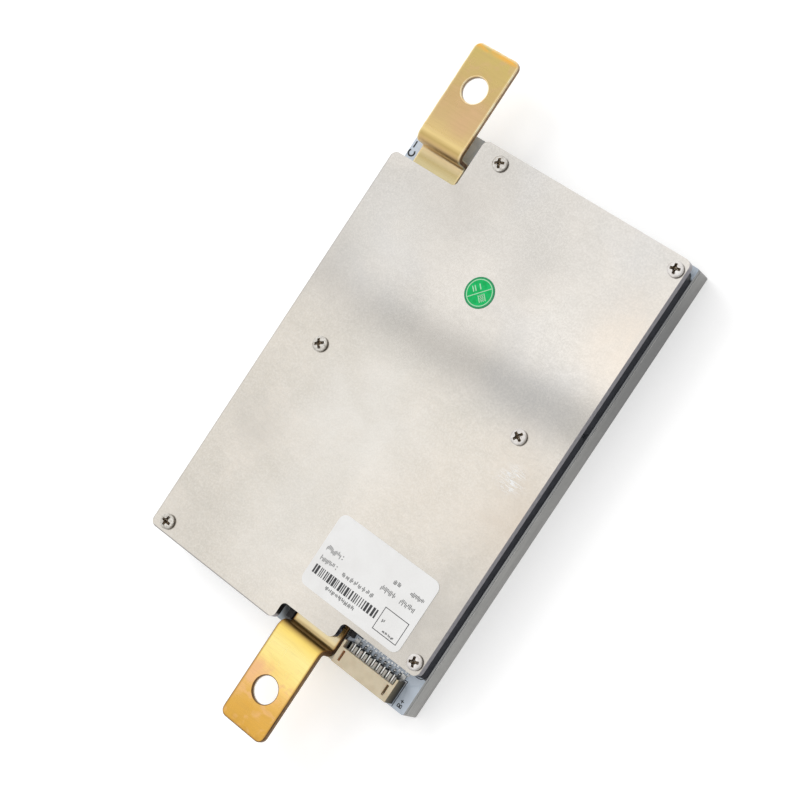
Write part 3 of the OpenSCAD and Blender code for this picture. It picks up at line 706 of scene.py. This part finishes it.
# Colour along each tab from its fold: the plating's tone, with painted highlights and painted shade at the bends;
# the battery tab's fall from pale gold to amber is a painted reflection.
CHARGE_TONES_AND_LIGHT = (
    (-17, (0.74, 0.66, 0.38)), (-5.5, (0.72, 0.61, 0.34)), (-3.2, (0.58, 0.46, 0.22)), (-1.6, (0.78, 0.64, 0.38)),
    (-0.6, (0.86, 0.68, 0.40)), (0.4, (0.80, 0.56, 0.28)), (2.4, (0.58, 0.42, 0.16)), (4.0, (0.86, 0.66, 0.30)),
    (5.4, (0.76, 0.56, 0.25)), (10, (0.68, 0.49, 0.235)), (17, (0.65, 0.45, 0.215)), (26, (0.65, 0.48, 0.195)),
    (36, (0.66, 0.51, 0.175)),
)
BATTERY_TONES_AND_LIGHT = (
    (-17, (0.70, 0.52, 0.20)), (-3.4, (0.74, 0.64, 0.44)), (-1.8, (0.96, 0.80, 0.46)), (-0.8, (0.72, 0.55, 0.27)),
    (0.2, (0.30, 0.17, 0.05)), (1.0, (0.62, 0.42, 0.12)), (2.2, (0.98, 0.74, 0.20)), (7, (1.0, 0.84, 0.34)),
    (12, (1.0, 0.80, 0.29)), (17, (0.96, 0.64, 0.21)), (22, (0.84, 0.50, 0.14)), (28, (0.76, 0.43, 0.09)),
    (35, (0.72, 0.40, 0.075)),
)


def dress_tabs():
    """The far tab is even and pale, the near one goes from gold to amber as a painted reflection, with browner edges
    of painted shade.
    """
    charge = tab_finish("charge_tab_brass", "charge_tab", BOARD_L - CHARGE_RISER, 1, CHARGE_TONES_AND_LIGHT,
                        patch=(4, 13, 9, (0.70, 0.47, 0.25)), end_tint=(0.95, 0.50, 0.10),
                        edge=(0.86, 0.72, 0.40), sides=((0.20, 0.10, 0.045), (0.46, 0.27, 0.13), 0.1))
    battery = tab_finish("battery_tab_brass", "battery_tab", BATTERY_RISER, -1, BATTERY_TONES_AND_LIGHT,
                         patch=(-6, 18, 6.5, (0.90, 0.53, 0.26)), end_tint=(0.62, 0.34, 0.07),
                         edge=(0.50, 0.27, 0.06), sides=((0.075, 0.032, 0.003), (0.20, 0.098, 0.009), 0.85))
    # the rims' colours are painted light: a painted highlight on the charge tab, painted shade on the battery tab
    charge_rim = rim_finish("charge_tab_rim", (0.98, 0.88, 0.60), (0.92, 0.64, 0.30), 0.45)
    battery_rim = rim_finish("battery_tab_rim", (0.24, 0.12, 0.03), (0.10, 0.045, 0.015), 0.0)
    dress("charge_tab", charge, 0.4, 3, charge_rim)
    dress("battery_tab", battery, 0.4, 3, battery_rim)


def dress_plates():
    rubber = moulding("lower_pad_rubber", (0.02, 0.021, 0.024), (0.035, 0.037, 0.042), 0.8, 0.3, 0.02,
                      Specular_IOR_Level=0.2)
    # the heat sink's bevels carry a painted highlight
    dress("heat_sink", sink_finish(), 0.45, 2, edge_finish())
    dress("lower_thermal_pad", rubber)
    dress("circuit_board", board_finish(), 0.12)
    dress("top_cover", cover_finish(), 0.95, 5)
    dress("rating_label", label_finish(), 0.03)
    dress("inspection_sticker", sticker_finish(), 0.03)


def dress_header():
    pins = plain_metal("header_pin_tin", (0.60, 0.59, 0.56), (0.84, 0.83, 0.80), 0.24, 0.8, 0.008)
    dress("header_housing", header_finish(), 0.12, 2)
    dress("header_pins", pins, 0.06)


def dress_small_parts():
    """The parts on the board under the cover, and what holds the cover."""
    epoxy = moulding("transistor_epoxy", (0.010, 0.010, 0.012), (0.02, 0.021, 0.024), 0.6, 0.12, 0.01,
                     Specular_IOR_Level=0.25)
    chip = moulding("chip_epoxy", (0.02, 0.02, 0.02), (0.035, 0.035, 0.034), 0.5, 0.1, 0.01)
    pad = moulding("upper_pad_rubber", (0.02, 0.022, 0.028), (0.035, 0.038, 0.048), 0.8, 0.35, 0.03,
                   Specular_IOR_Level=0.2)
    leads = plain_metal("tinned_leads", (0.42, 0.42, 0.41), (0.62, 0.62, 0.60), 0.34, 0.8, 0.01)
    nylon = moulding("spacer_nylon", (0.012, 0.012, 0.014), (0.022, 0.022, 0.025), 0.5, 0.15, 0.008)
    shunt = plain_metal("shunt_alloy", (0.22, 0.20, 0.19), (0.34, 0.32, 0.30), 0.42, 1.5, 0.01)
    resistor = moulding("resistor_glaze", (0.02, 0.021, 0.023), (0.035, 0.037, 0.04), 0.3, 0.2, 0.006)
    capacitor = moulding("capacitor_ceramic", (0.30, 0.20, 0.12), (0.38, 0.26, 0.165), 0.4, 0.15, 0.006)
    diode = moulding("diode_epoxy", (0.016, 0.016, 0.017), (0.028, 0.028, 0.03), 0.45, 0.12, 0.008)
    for side in ("left", "right"):
        dress(f"transistor_bodies_{side}", epoxy, 0.12)
        dress(f"transistor_metal_{side}", leads, 0.05)
    for name in ("upper_pad_left", "upper_pad_right_near", "upper_pad_right_far"):
        dress(name, pad, 0.3, 2)
    for name, finish, bevel in (("header_anchors", leads, 0.05), ("current_shunts", shunt, 0.12),
                                ("monitor_chip", chip, 0.1), ("controller_chip", chip, 0.1), ("chip_legs", leads, 0),
                                ("balance_resistors", resistor, 0.08), ("filter_capacitors", capacitor, 0.08),
                                ("edge_diodes", diode, 0.1)):
        dress(name, finish, bevel)
    for i in range(1, 7):
        dress(f"spacer_{i}", nylon, 0.15)
        screw = f"cover_screw_{i}"
        dress(screw, screw_finish(screw), 0.12, 2)


# ---- solder and terminals


def solder_round_tabs():
    """A fillet of solder round the foot of each power tab."""
    far_fold = BOARD_L - CHARGE_RISER
    for tab, y0, y1 in (("charge_tab", far_fold - TAB_FOOT, far_fold - TAB_BEND),
                        ("battery_tab", BATTERY_RISER + TAB_BEND, BATTERY_RISER + TAB_FOOT)):
        low, high = span(tab)
        seam = collar((low.x, y0, high.x, y1), foot=0.7, r=0.8, h=0.8)
        make_piece(f"{tab}_solder", [seam], "solder", smooth=True)


def solder_pins():
    """A tinned pad and a mound of solder under each header pin's foot."""
    back = span("header_housing")[1].y
    foot_end = span("header_pins")[1].y
    flank = [(1, 0), (1, 0.05), (0.55, 0.16), (0.2, 0.38), (0, 0.56)]
    shells = []
    for low, high in runs("header_pins", 0):
        x = (low + high) / 2
        shells.append(mound((x - 0.3, back + 0.5, x + 0.3, foot_end - 0.1), 0.22, 0.15, flank))
    make_piece("header_pin_solder", shells, "solder", smooth=True)


def solder_transistors():
    """The solder that runs out beyond each transistor's metal tab."""
    flank = [(1, 0), (0.5, 0.1), (0.1, 0.3), (0, 0.42)]
    for side in ("left", "right"):
        node = f"transistor_metal_{side}"
        low, high = span(node)
        x = low.x if side == "left" else high.x
        shells = [mound((x - 0.35, y0 + 0.2, x + 0.35, y1 - 0.2), 0.3, 0.1, flank)
                  for y0, y1 in runs(node, 1, join=0.6)]
        make_piece(f"transistor_solder_{side}", shells, "solder", smooth=True)


def test_pad():
    """The small tinned pad beside the header's right end."""
    corner = span("header_housing")[1]
    x, y, half = corner.x - 0.55, corner.y + 2.2, 0.15
    pad = mound((x - half, y - half, x + half, y + half), 0.36, 0.149, [(1, 0), (1, PAD_T), (0.8, 0.14), (0.4, 0.2)])
    make_piece("test_pad", [pad], "white_ink", smooth=True)


def terminals(node, axis, length):
    """Solder-wetted metal ends on a row of small parts, across the given axis."""
    height = span(node)[1].z - DECK
    flank = [(1, 0), (0.5, 0.2), (0.1, 0.55), (0, height - 0.08), (0, height + 0.02)]
    shells = []
    for x0, x1 in runs(node, 0):
        for y0, y1 in runs(node, 1):
            ends = ((x0, y0, x0 + length, y1), (x1 - length, y0, x1, y1))
            if axis == 1:
                ends = ((x0, y0, x1, y0 + length), (x0, y1 - length, x1, y1))
            shells += [mound(inset(end, -0.02), 0.28, 0.08, flank) for end in ends]
    make_piece(f"{node}_ends", shells, "solder")


# ---- print


def terminal_marks():
    """The generic marks C minus, beside the charge tab, and B plus, beside the header."""
    x, y = span("charge_tab")[0].x / 2 - 0.82, BOARD_L - NOTCH_L + 2.55
    letter = ribbon(arc(x, y, 1.1, 48, -228), 0.56)
    dash = ribbon([(x - 0.45, y + 1.7), (x - 0.45, y + 4.0)], 0.5)
    make_piece("mark_c_minus", [plate(letter, DECK), plate(dash, DECK)], "black_ink")

    left, y, half, height = span("header_housing")[1].x + 1.55, 1.2, 0.85, 1.2
    shells = [band(lobe(x, y, x + half - 0.01, y + height, 0.36),
                   lobe(x + 0.27, y + 0.29, x + half - 0.2, y + height - 0.29, 0.12), DECK)
              for x in (left, left + half)]
    shells.append(plate(cross(left + half, y + height + 0.95, 0.6, 0.15), DECK))
    make_piece("mark_b_plus", shells, "black_ink")


KEEP_OUT = ((-0.6, -4.4), (0.5, -4.45), (1.5, -4.2), (2.2, -3.5), (2.45, -2.6), (2.4, -1.4), (2.1, -0.3))


def header_print():
    """The outline and tick printed round the header, and the bend round the near right screw."""
    low, high = span("header_housing")
    screw = middle("cover_screw_6")
    lines = (([(high.x + 0.36, low.y - 0.45), (high.x + 0.36, high.y + 0.45), (high.x - 1.3, high.y + 0.45)], 0.24),
             ([(low.x + 0.2, high.y + 2.5), (low.x + 2.7, high.y + 2.5)], 0.22),
             ([(screw.x + dx, screw.y + dy) for dx, dy in KEEP_OUT], 0.26))
    make_piece("header_print_lines", [plate(ribbon(*line), DECK) for line in lines], "black_ink")
    tick = [(high.x - 0.9, high.y + 0.16), (high.x + 0.1, high.y + 0.16), (high.x + 0.1, high.y - 1.3)]
    make_piece("header_print_tick", [plate(ribbon(tick, 0.2), DECK)], "white_ink")


VIAS, VIA_PITCH = 18, 1.08    # the row of vias between the header and the cover
VIA_START = (1.9, 1.75)       # its first hole, from the header's left end and from its back


def board_vias():
    """A row of tinned holes, and one of printed dashes, between the header and the cover."""
    low, high = span("header_housing")
    draw = random.Random(3)
    rings, holes, dashes = [], [], []
    for i in range(VIAS):
        x = low.x + VIA_START[0] + i * VIA_PITCH
        y = high.y + VIA_START[1] + draw.choice((0, 0.35, 0.7))
        rings.append(plate(arc(x, y, 0.3, 0, 330, 11), DECK, PAD_T))
        holes.append(plate(arc(x, y, 0.13, 0, 300, 5), DECK + PAD_T))
        dashes.append(plate(rectangle(x - 0.28, high.y + 3.25, x + 0.2, high.y + 3.5), DECK))
    make_piece("board_vias", rings, "solder")
    make_piece("via_holes", holes, "black_ink")
    make_piece("via_dashes", dashes, "black_ink")


def strokes(x, y, w, h, draw, t=0.2):
    """Short upright strokes of uneven height that fill a cell as print would, and spell nothing."""
    shells = []
    for side in (x, x + (w - t) / 2, x + w - t):
        foot, head = draw.uniform(0, 0.45), draw.uniform(0.6, 1)
        shells.append(plate(rectangle(side, y + foot * h, side + t, y + head * h), LABEL_TOP))
    return shells


# Places on the label are taken from its left near corner
BAR_CODE = (2.0, 4.7, 27.8, 7.6)
LABEL_BOX = (29.0, 2.2, 38.5, 9.8)
LABEL_DOTS = ((8.2, 9.4), (8.2, 10.3), (8.2, 13.0), (8.2, 13.9))
LABEL_ROWS = (        # each row's place, and its cells' count, width, pitch and height
    (8.9, 2.5, 9, 0.95, 1.34, 1.5), (2.0, 8.9, 4, 1.15, 1.42, 2.0), (11.2, 9.0, 8, 1.0, 1.62, 1.7),
    (2.0, 12.4, 4, 1.15, 1.45, 2.2), (24.2, 12.6, 4, 1.15, 1.45, 2.1), (31.9, 12.7, 4, 1.15, 1.45, 2.1),
    (26.8, 16.4, 2, 1.0, 1.5, 1.7), (33.4, 16.6, 4, 1.05, 1.32, 1.8), (32.4, 2.8, 4, 0.8, 1.15, 0.9),
    (30.4, 5.2, 1, 0.9, 1.2, 1.3),
)


def label_print():
    """Plain bars, cells of strokes and an empty frame in place of the label's print."""
    corner = span("rating_label")[0]
    draw = random.Random(7)
    x0, y0, x1, y1 = BAR_CODE
    x, stop = corner.x + x0, corner.x + x1
    bars = []
    while x < stop - 0.3:
        w = min(draw.choice((0.28, 0.4, 0.6, 0.85)), stop - x)
        bars.append(plate(rectangle(x, corner.y + y0, x + w, corner.y + y1), LABEL_TOP))
        x += w + draw.choice((0.3, 0.42, 0.6))
    make_piece("label_bars", bars, "label_ink")
    rows = []
    for dx, dy, count, w, pitch, h in LABEL_ROWS:
        for i in range(count):
            rows += strokes(corner.x + dx + i * pitch, corner.y + dy, w, h, draw)
    for dx, dy in LABEL_DOTS:
        x, y = corner.x + dx, corner.y + dy
        rows.append(plate(rectangle(x, y, x + 0.3, y + 0.3), LABEL_TOP))
    make_piece("label_rows", rows, "label_ink")
    x0, y0, x1, y1 = LABEL_BOX
    box = (corner.x + x0, corner.y + y0, corner.x + x1, corner.y + y1)
    line = band(rectangle(*box), rectangle(*inset(box, 0.22)), LABEL_TOP)
    make_piece("label_frame", [line], "label_ink")


RING = (4.35, 4.08)           # outer and inner radius of the sticker's ring
STICKER_TILT = 47             # of its dividing line, in degrees
STICKER_STROKES = (           # the line, three bars over it and a grid under it: two ends and a width
    ((-4.1, 0), (4.1, 0), 0.26),
    *(((u, 0.9), (u, 2.8), 0.34) for u in (-1.7, -0.9, 0.7)),
    *(((u, -0.7), (u, -3.1), 0.26) for u in (-0.6, 0.05, 0.7, 1.35)),
    *(((-0.3, v), (1.05, v), 0.22) for v in (-1.1, -1.9, -2.7)),
)


def sticker_print():
    """A ring, a dividing line and short strokes on the round sticker."""
    centre = middle("inspection_sticker").to_2d()
    tilt = math.radians(STICKER_TILT)
    way = Vector((math.cos(tilt), math.sin(tilt)))
    side = Vector((-way.y, way.x))
    outer, inner = (arc(*centre, r, 0, 352.5, 47) for r in RING)
    shells = [band(outer, inner, STICKER_TOP)]
    for start, end, width in STICKER_STROKES:
        ends = [tuple(centre + way * u + side * v) for u, v in (start, end)]
        shells.append(plate(ribbon(ends, width), STICKER_TOP))
    make_piece("sticker_lines", shells, "pale_ink")


def chip_marks():
    """The moulded first-pin dot of each chip."""
    shells = []
    for chip in ("monitor_chip", "controller_chip"):
        low, high = span(chip)
        shells.append(plate(arc(low.x + 1.1, low.y + 1.1, 0.4, 0, 345, 23), high.z))
    make_piece("chip_pin_dots", shells, "dot_ink")


# ---- studio

# The floor, the lamp and the camera are placed in metres in the part's frame
FLOOR_HALF, FLOOR_DROP, FLOOR_GLOW = 4.0, 0.0002, 0.4
LAMP_PLACE, LAMP_SIZE, LAMP_POWER = (-1.0, 0.3, 0.95), 0.7, 5.0
SKY_LIGHT, PANEL_LIGHT = 0.22, 0.98
PANEL_WAY = Vector((-0.45, 0.1, 0.88))
PANEL_FULL, PANEL_SOFT = 40.0, 98.0     # the bright part of the sky and its faded edge, in degrees


def pale_floor():
    """A pale floor, which the camera and reflections see as white."""
    mesh = bpy.data.meshes.new("floor")
    corners = [(x, y, 0) for x, y in rectangle(-FLOOR_HALF, -FLOOR_HALF, FLOOR_HALF, FLOOR_HALF)]
    mesh.from_pydata(corners, [], [(0, 1, 2, 3)])
    floor = add_object("floor", mesh)
    floor.location.z = cad_low.z - FLOOR_DROP
    material = bpy.data.materials.new("floor_pale")
    material.use_nodes = True
    tree = material.node_tree
    tree.nodes.clear()
    paper = add_node(tree, "ShaderNodeBsdfDiffuse", {"Color": (0.8, 0.8, 0.8, 1)}).outputs[0]
    glow = add_node(tree, "ShaderNodeEmission", {"Strength": FLOOR_GLOW}).outputs[0]
    both = add_node(tree, "ShaderNodeAddShader", {0: paper, 1: glow}).outputs[0]
    shown = add_node(tree, "ShaderNodeMixShader", {0: background_rays(tree), 1: paper, 2: both}).outputs[0]
    add_node(tree, "ShaderNodeOutputMaterial", {"Surface": shown})
    mesh.materials.append(material)


def background_rays(tree):
    """1 for the rays that see the background: the camera's, and those off metal or glass."""
    rays = add_node(tree, "ShaderNodeLightPath").outputs
    total = rays["Is Camera Ray"]
    for name in ("Is Glossy Ray", "Is Transmission Ray"):
        total = add_node(tree, "ShaderNodeMath", {0: total, 1: rays[name]}, operation="MAXIMUM").outputs[0]
    return total


def sky():
    """Even grey light all round, with a soft white panel overhead."""
    world = bpy.data.worlds.new("studio")
    bpy.context.scene.world = world
    world.use_nodes = True
    tree = world.node_tree
    light = tree.nodes["Background"]
    light.inputs["Color"].default_value = (1, 1, 1, 1)
    place = add_node(tree, "ShaderNodeTexCoord").outputs["Generated"]
    toward = add_node(tree, "ShaderNodeVectorMath", {0: place, 1: PANEL_WAY.normalized()},
                      operation="DOT_PRODUCT").outputs["Value"]
    soft, full = (math.cos(math.radians(angle)) for angle in (PANEL_SOFT, PANEL_FULL))
    panel = add_node(tree, "ShaderNodeMapRange", {"Value": toward, 1: soft, 2: full, 3: SKY_LIGHT, 4: PANEL_LIGHT},
                     interpolation_type="SMOOTHSTEP")
    tree.links.new(panel.outputs[0], light.inputs["Strength"])


def soft_box():
    """One lamp, from the left and above."""
    lamp = bpy.data.lights.new("soft_box", "AREA")
    lamp.shape = "RECTANGLE"
    lamp.size = lamp.size_y = LAMP_SIZE
    lamp.energy = LAMP_POWER
    box = add_object("soft_box", lamp)
    box.location = LAMP_PLACE
    box.visible_glossy = False
    box.rotation_euler = Vector(LAMP_PLACE).to_track_quat("Z", "Y").to_euler()


# The panel that the cover reflects is placed in mm, as things on the board are
CARD, CARD_Z = (-187.5, -81, 112.5, 239), 130
CARD_RAMP, CARD_LIGHT = (-62.5, 52.5), (0.94, 1.03)         # along X, and its light at both ends
NEAR_SLOPE, FAR_SLOPE = 0.02, 0.10                          # how its grey strip's edges slope along X,
STRIP_NEAR, STRIP_FAR = (86.45, 93.45), (101.25, 105.25)    # and where they lie along Y at X = 0
STRIP_RAMP, STRIP_DEPTH = (-62.5, -12.5), (0.2, 0.465)      # along X, and how grey the strip is there
RIM_FADE, RIM_LIGHT = (103.75, 148.75), 0.2                 # along Y, the light beyond the strip


def card():
    """A panel over the cover that only reflections show: it has a grey strip with a bright rim."""
    mesh = bpy.data.meshes.new("reflection_panel")
    mesh.from_pydata([in_frame(x, y, CARD_Z) for x, y in rectangle(*CARD)], [], [(0, 1, 2, 3)])
    panel = add_object("reflection_panel", mesh)
    f = Finish("panel_light", (0, 0, 0), 1.0)
    x, y = f.axis("X"), f.axis("Y")
    right = f.levels(x, *CARD_RAMP, smooth=True)
    near_y, far_y = (f.math("SUBTRACT", y, f.times(x, slope)) for slope in (NEAR_SLOPE, FAR_SLOPE))
    rise = f.levels(near_y, *STRIP_NEAR, smooth=True)
    fall = f.levels(far_y, *STRIP_FAR, 1, 0, smooth=True)
    strip = f.times(f.times(rise, fall), f.levels(x, *STRIP_RAMP, *STRIP_DEPTH, smooth=True))
    beyond = f.levels(far_y, *STRIP_FAR, smooth=True)
    rim = f.times(beyond, f.levels(far_y, *RIM_FADE, RIM_LIGHT, 0, smooth=True))
    plain = f.times(f.levels(right, 0, 1, *CARD_LIGHT), f.rest(strip))
    glow = f.add("ShaderNodeEmission", {"Strength": f.math("ADD", plain, f.times(rim, right))})
    f.tree.links.new(glow.outputs[0], f.tree.nodes["Material Output"].inputs["Surface"])
    mesh.materials.append(f.material)
    panel.visible_camera = panel.visible_diffuse = panel.visible_shadow = False
    panel.visible_transmission = panel.visible_volume_scatter = False


AIM = Vector((-0.00225, -0.00204, 0.017))
DISTANCE = 0.60376
AZIMUTH, ELEVATION, ROLL = 5.655, 62.842, -61.640     # in degrees, the first from +X towards +Y
LENS, SENSOR = 89.51, 36.0


def camera():
    """From the right and above, turned so that the board stands on a corner."""
    data = bpy.data.cameras.new("camera")
    data.lens = LENS
    data.sensor_width = SENSOR
    data.clip_start, data.clip_end = 0.01, 50
    cam = add_object("camera", data)
    a, e = math.radians(AZIMUTH), math.radians(ELEVATION)
    back = Vector((math.cos(a) * math.cos(e), math.sin(a) * math.cos(e), math.sin(e)))
    cam.location = AIM + back * DISTANCE
    cam.rotation_mode = "QUATERNION"
    cam.rotation_quaternion = back.to_track_quat("Z", "Y") @ Quaternion((0, 0, 1), math.radians(ROLL))
    bpy.context.scene.camera = cam


dress_plates()
dress_tabs()
dress_header()
dress_small_parts()
solder_round_tabs()
solder_pins()
solder_transistors()
test_pad()
terminals("current_shunts", 0, 0.9)
terminals("balance_resistors", 1, 0.6)
terminals("filter_capacitors", 1, 0.45)
terminal_marks()
header_print()
board_vias()
label_print()
sticker_print()
chip_marks()
pale_floor()
sky()
card()
soft_box()
camera()

bpy.context.scene.view_settings.view_transform = "Standard"
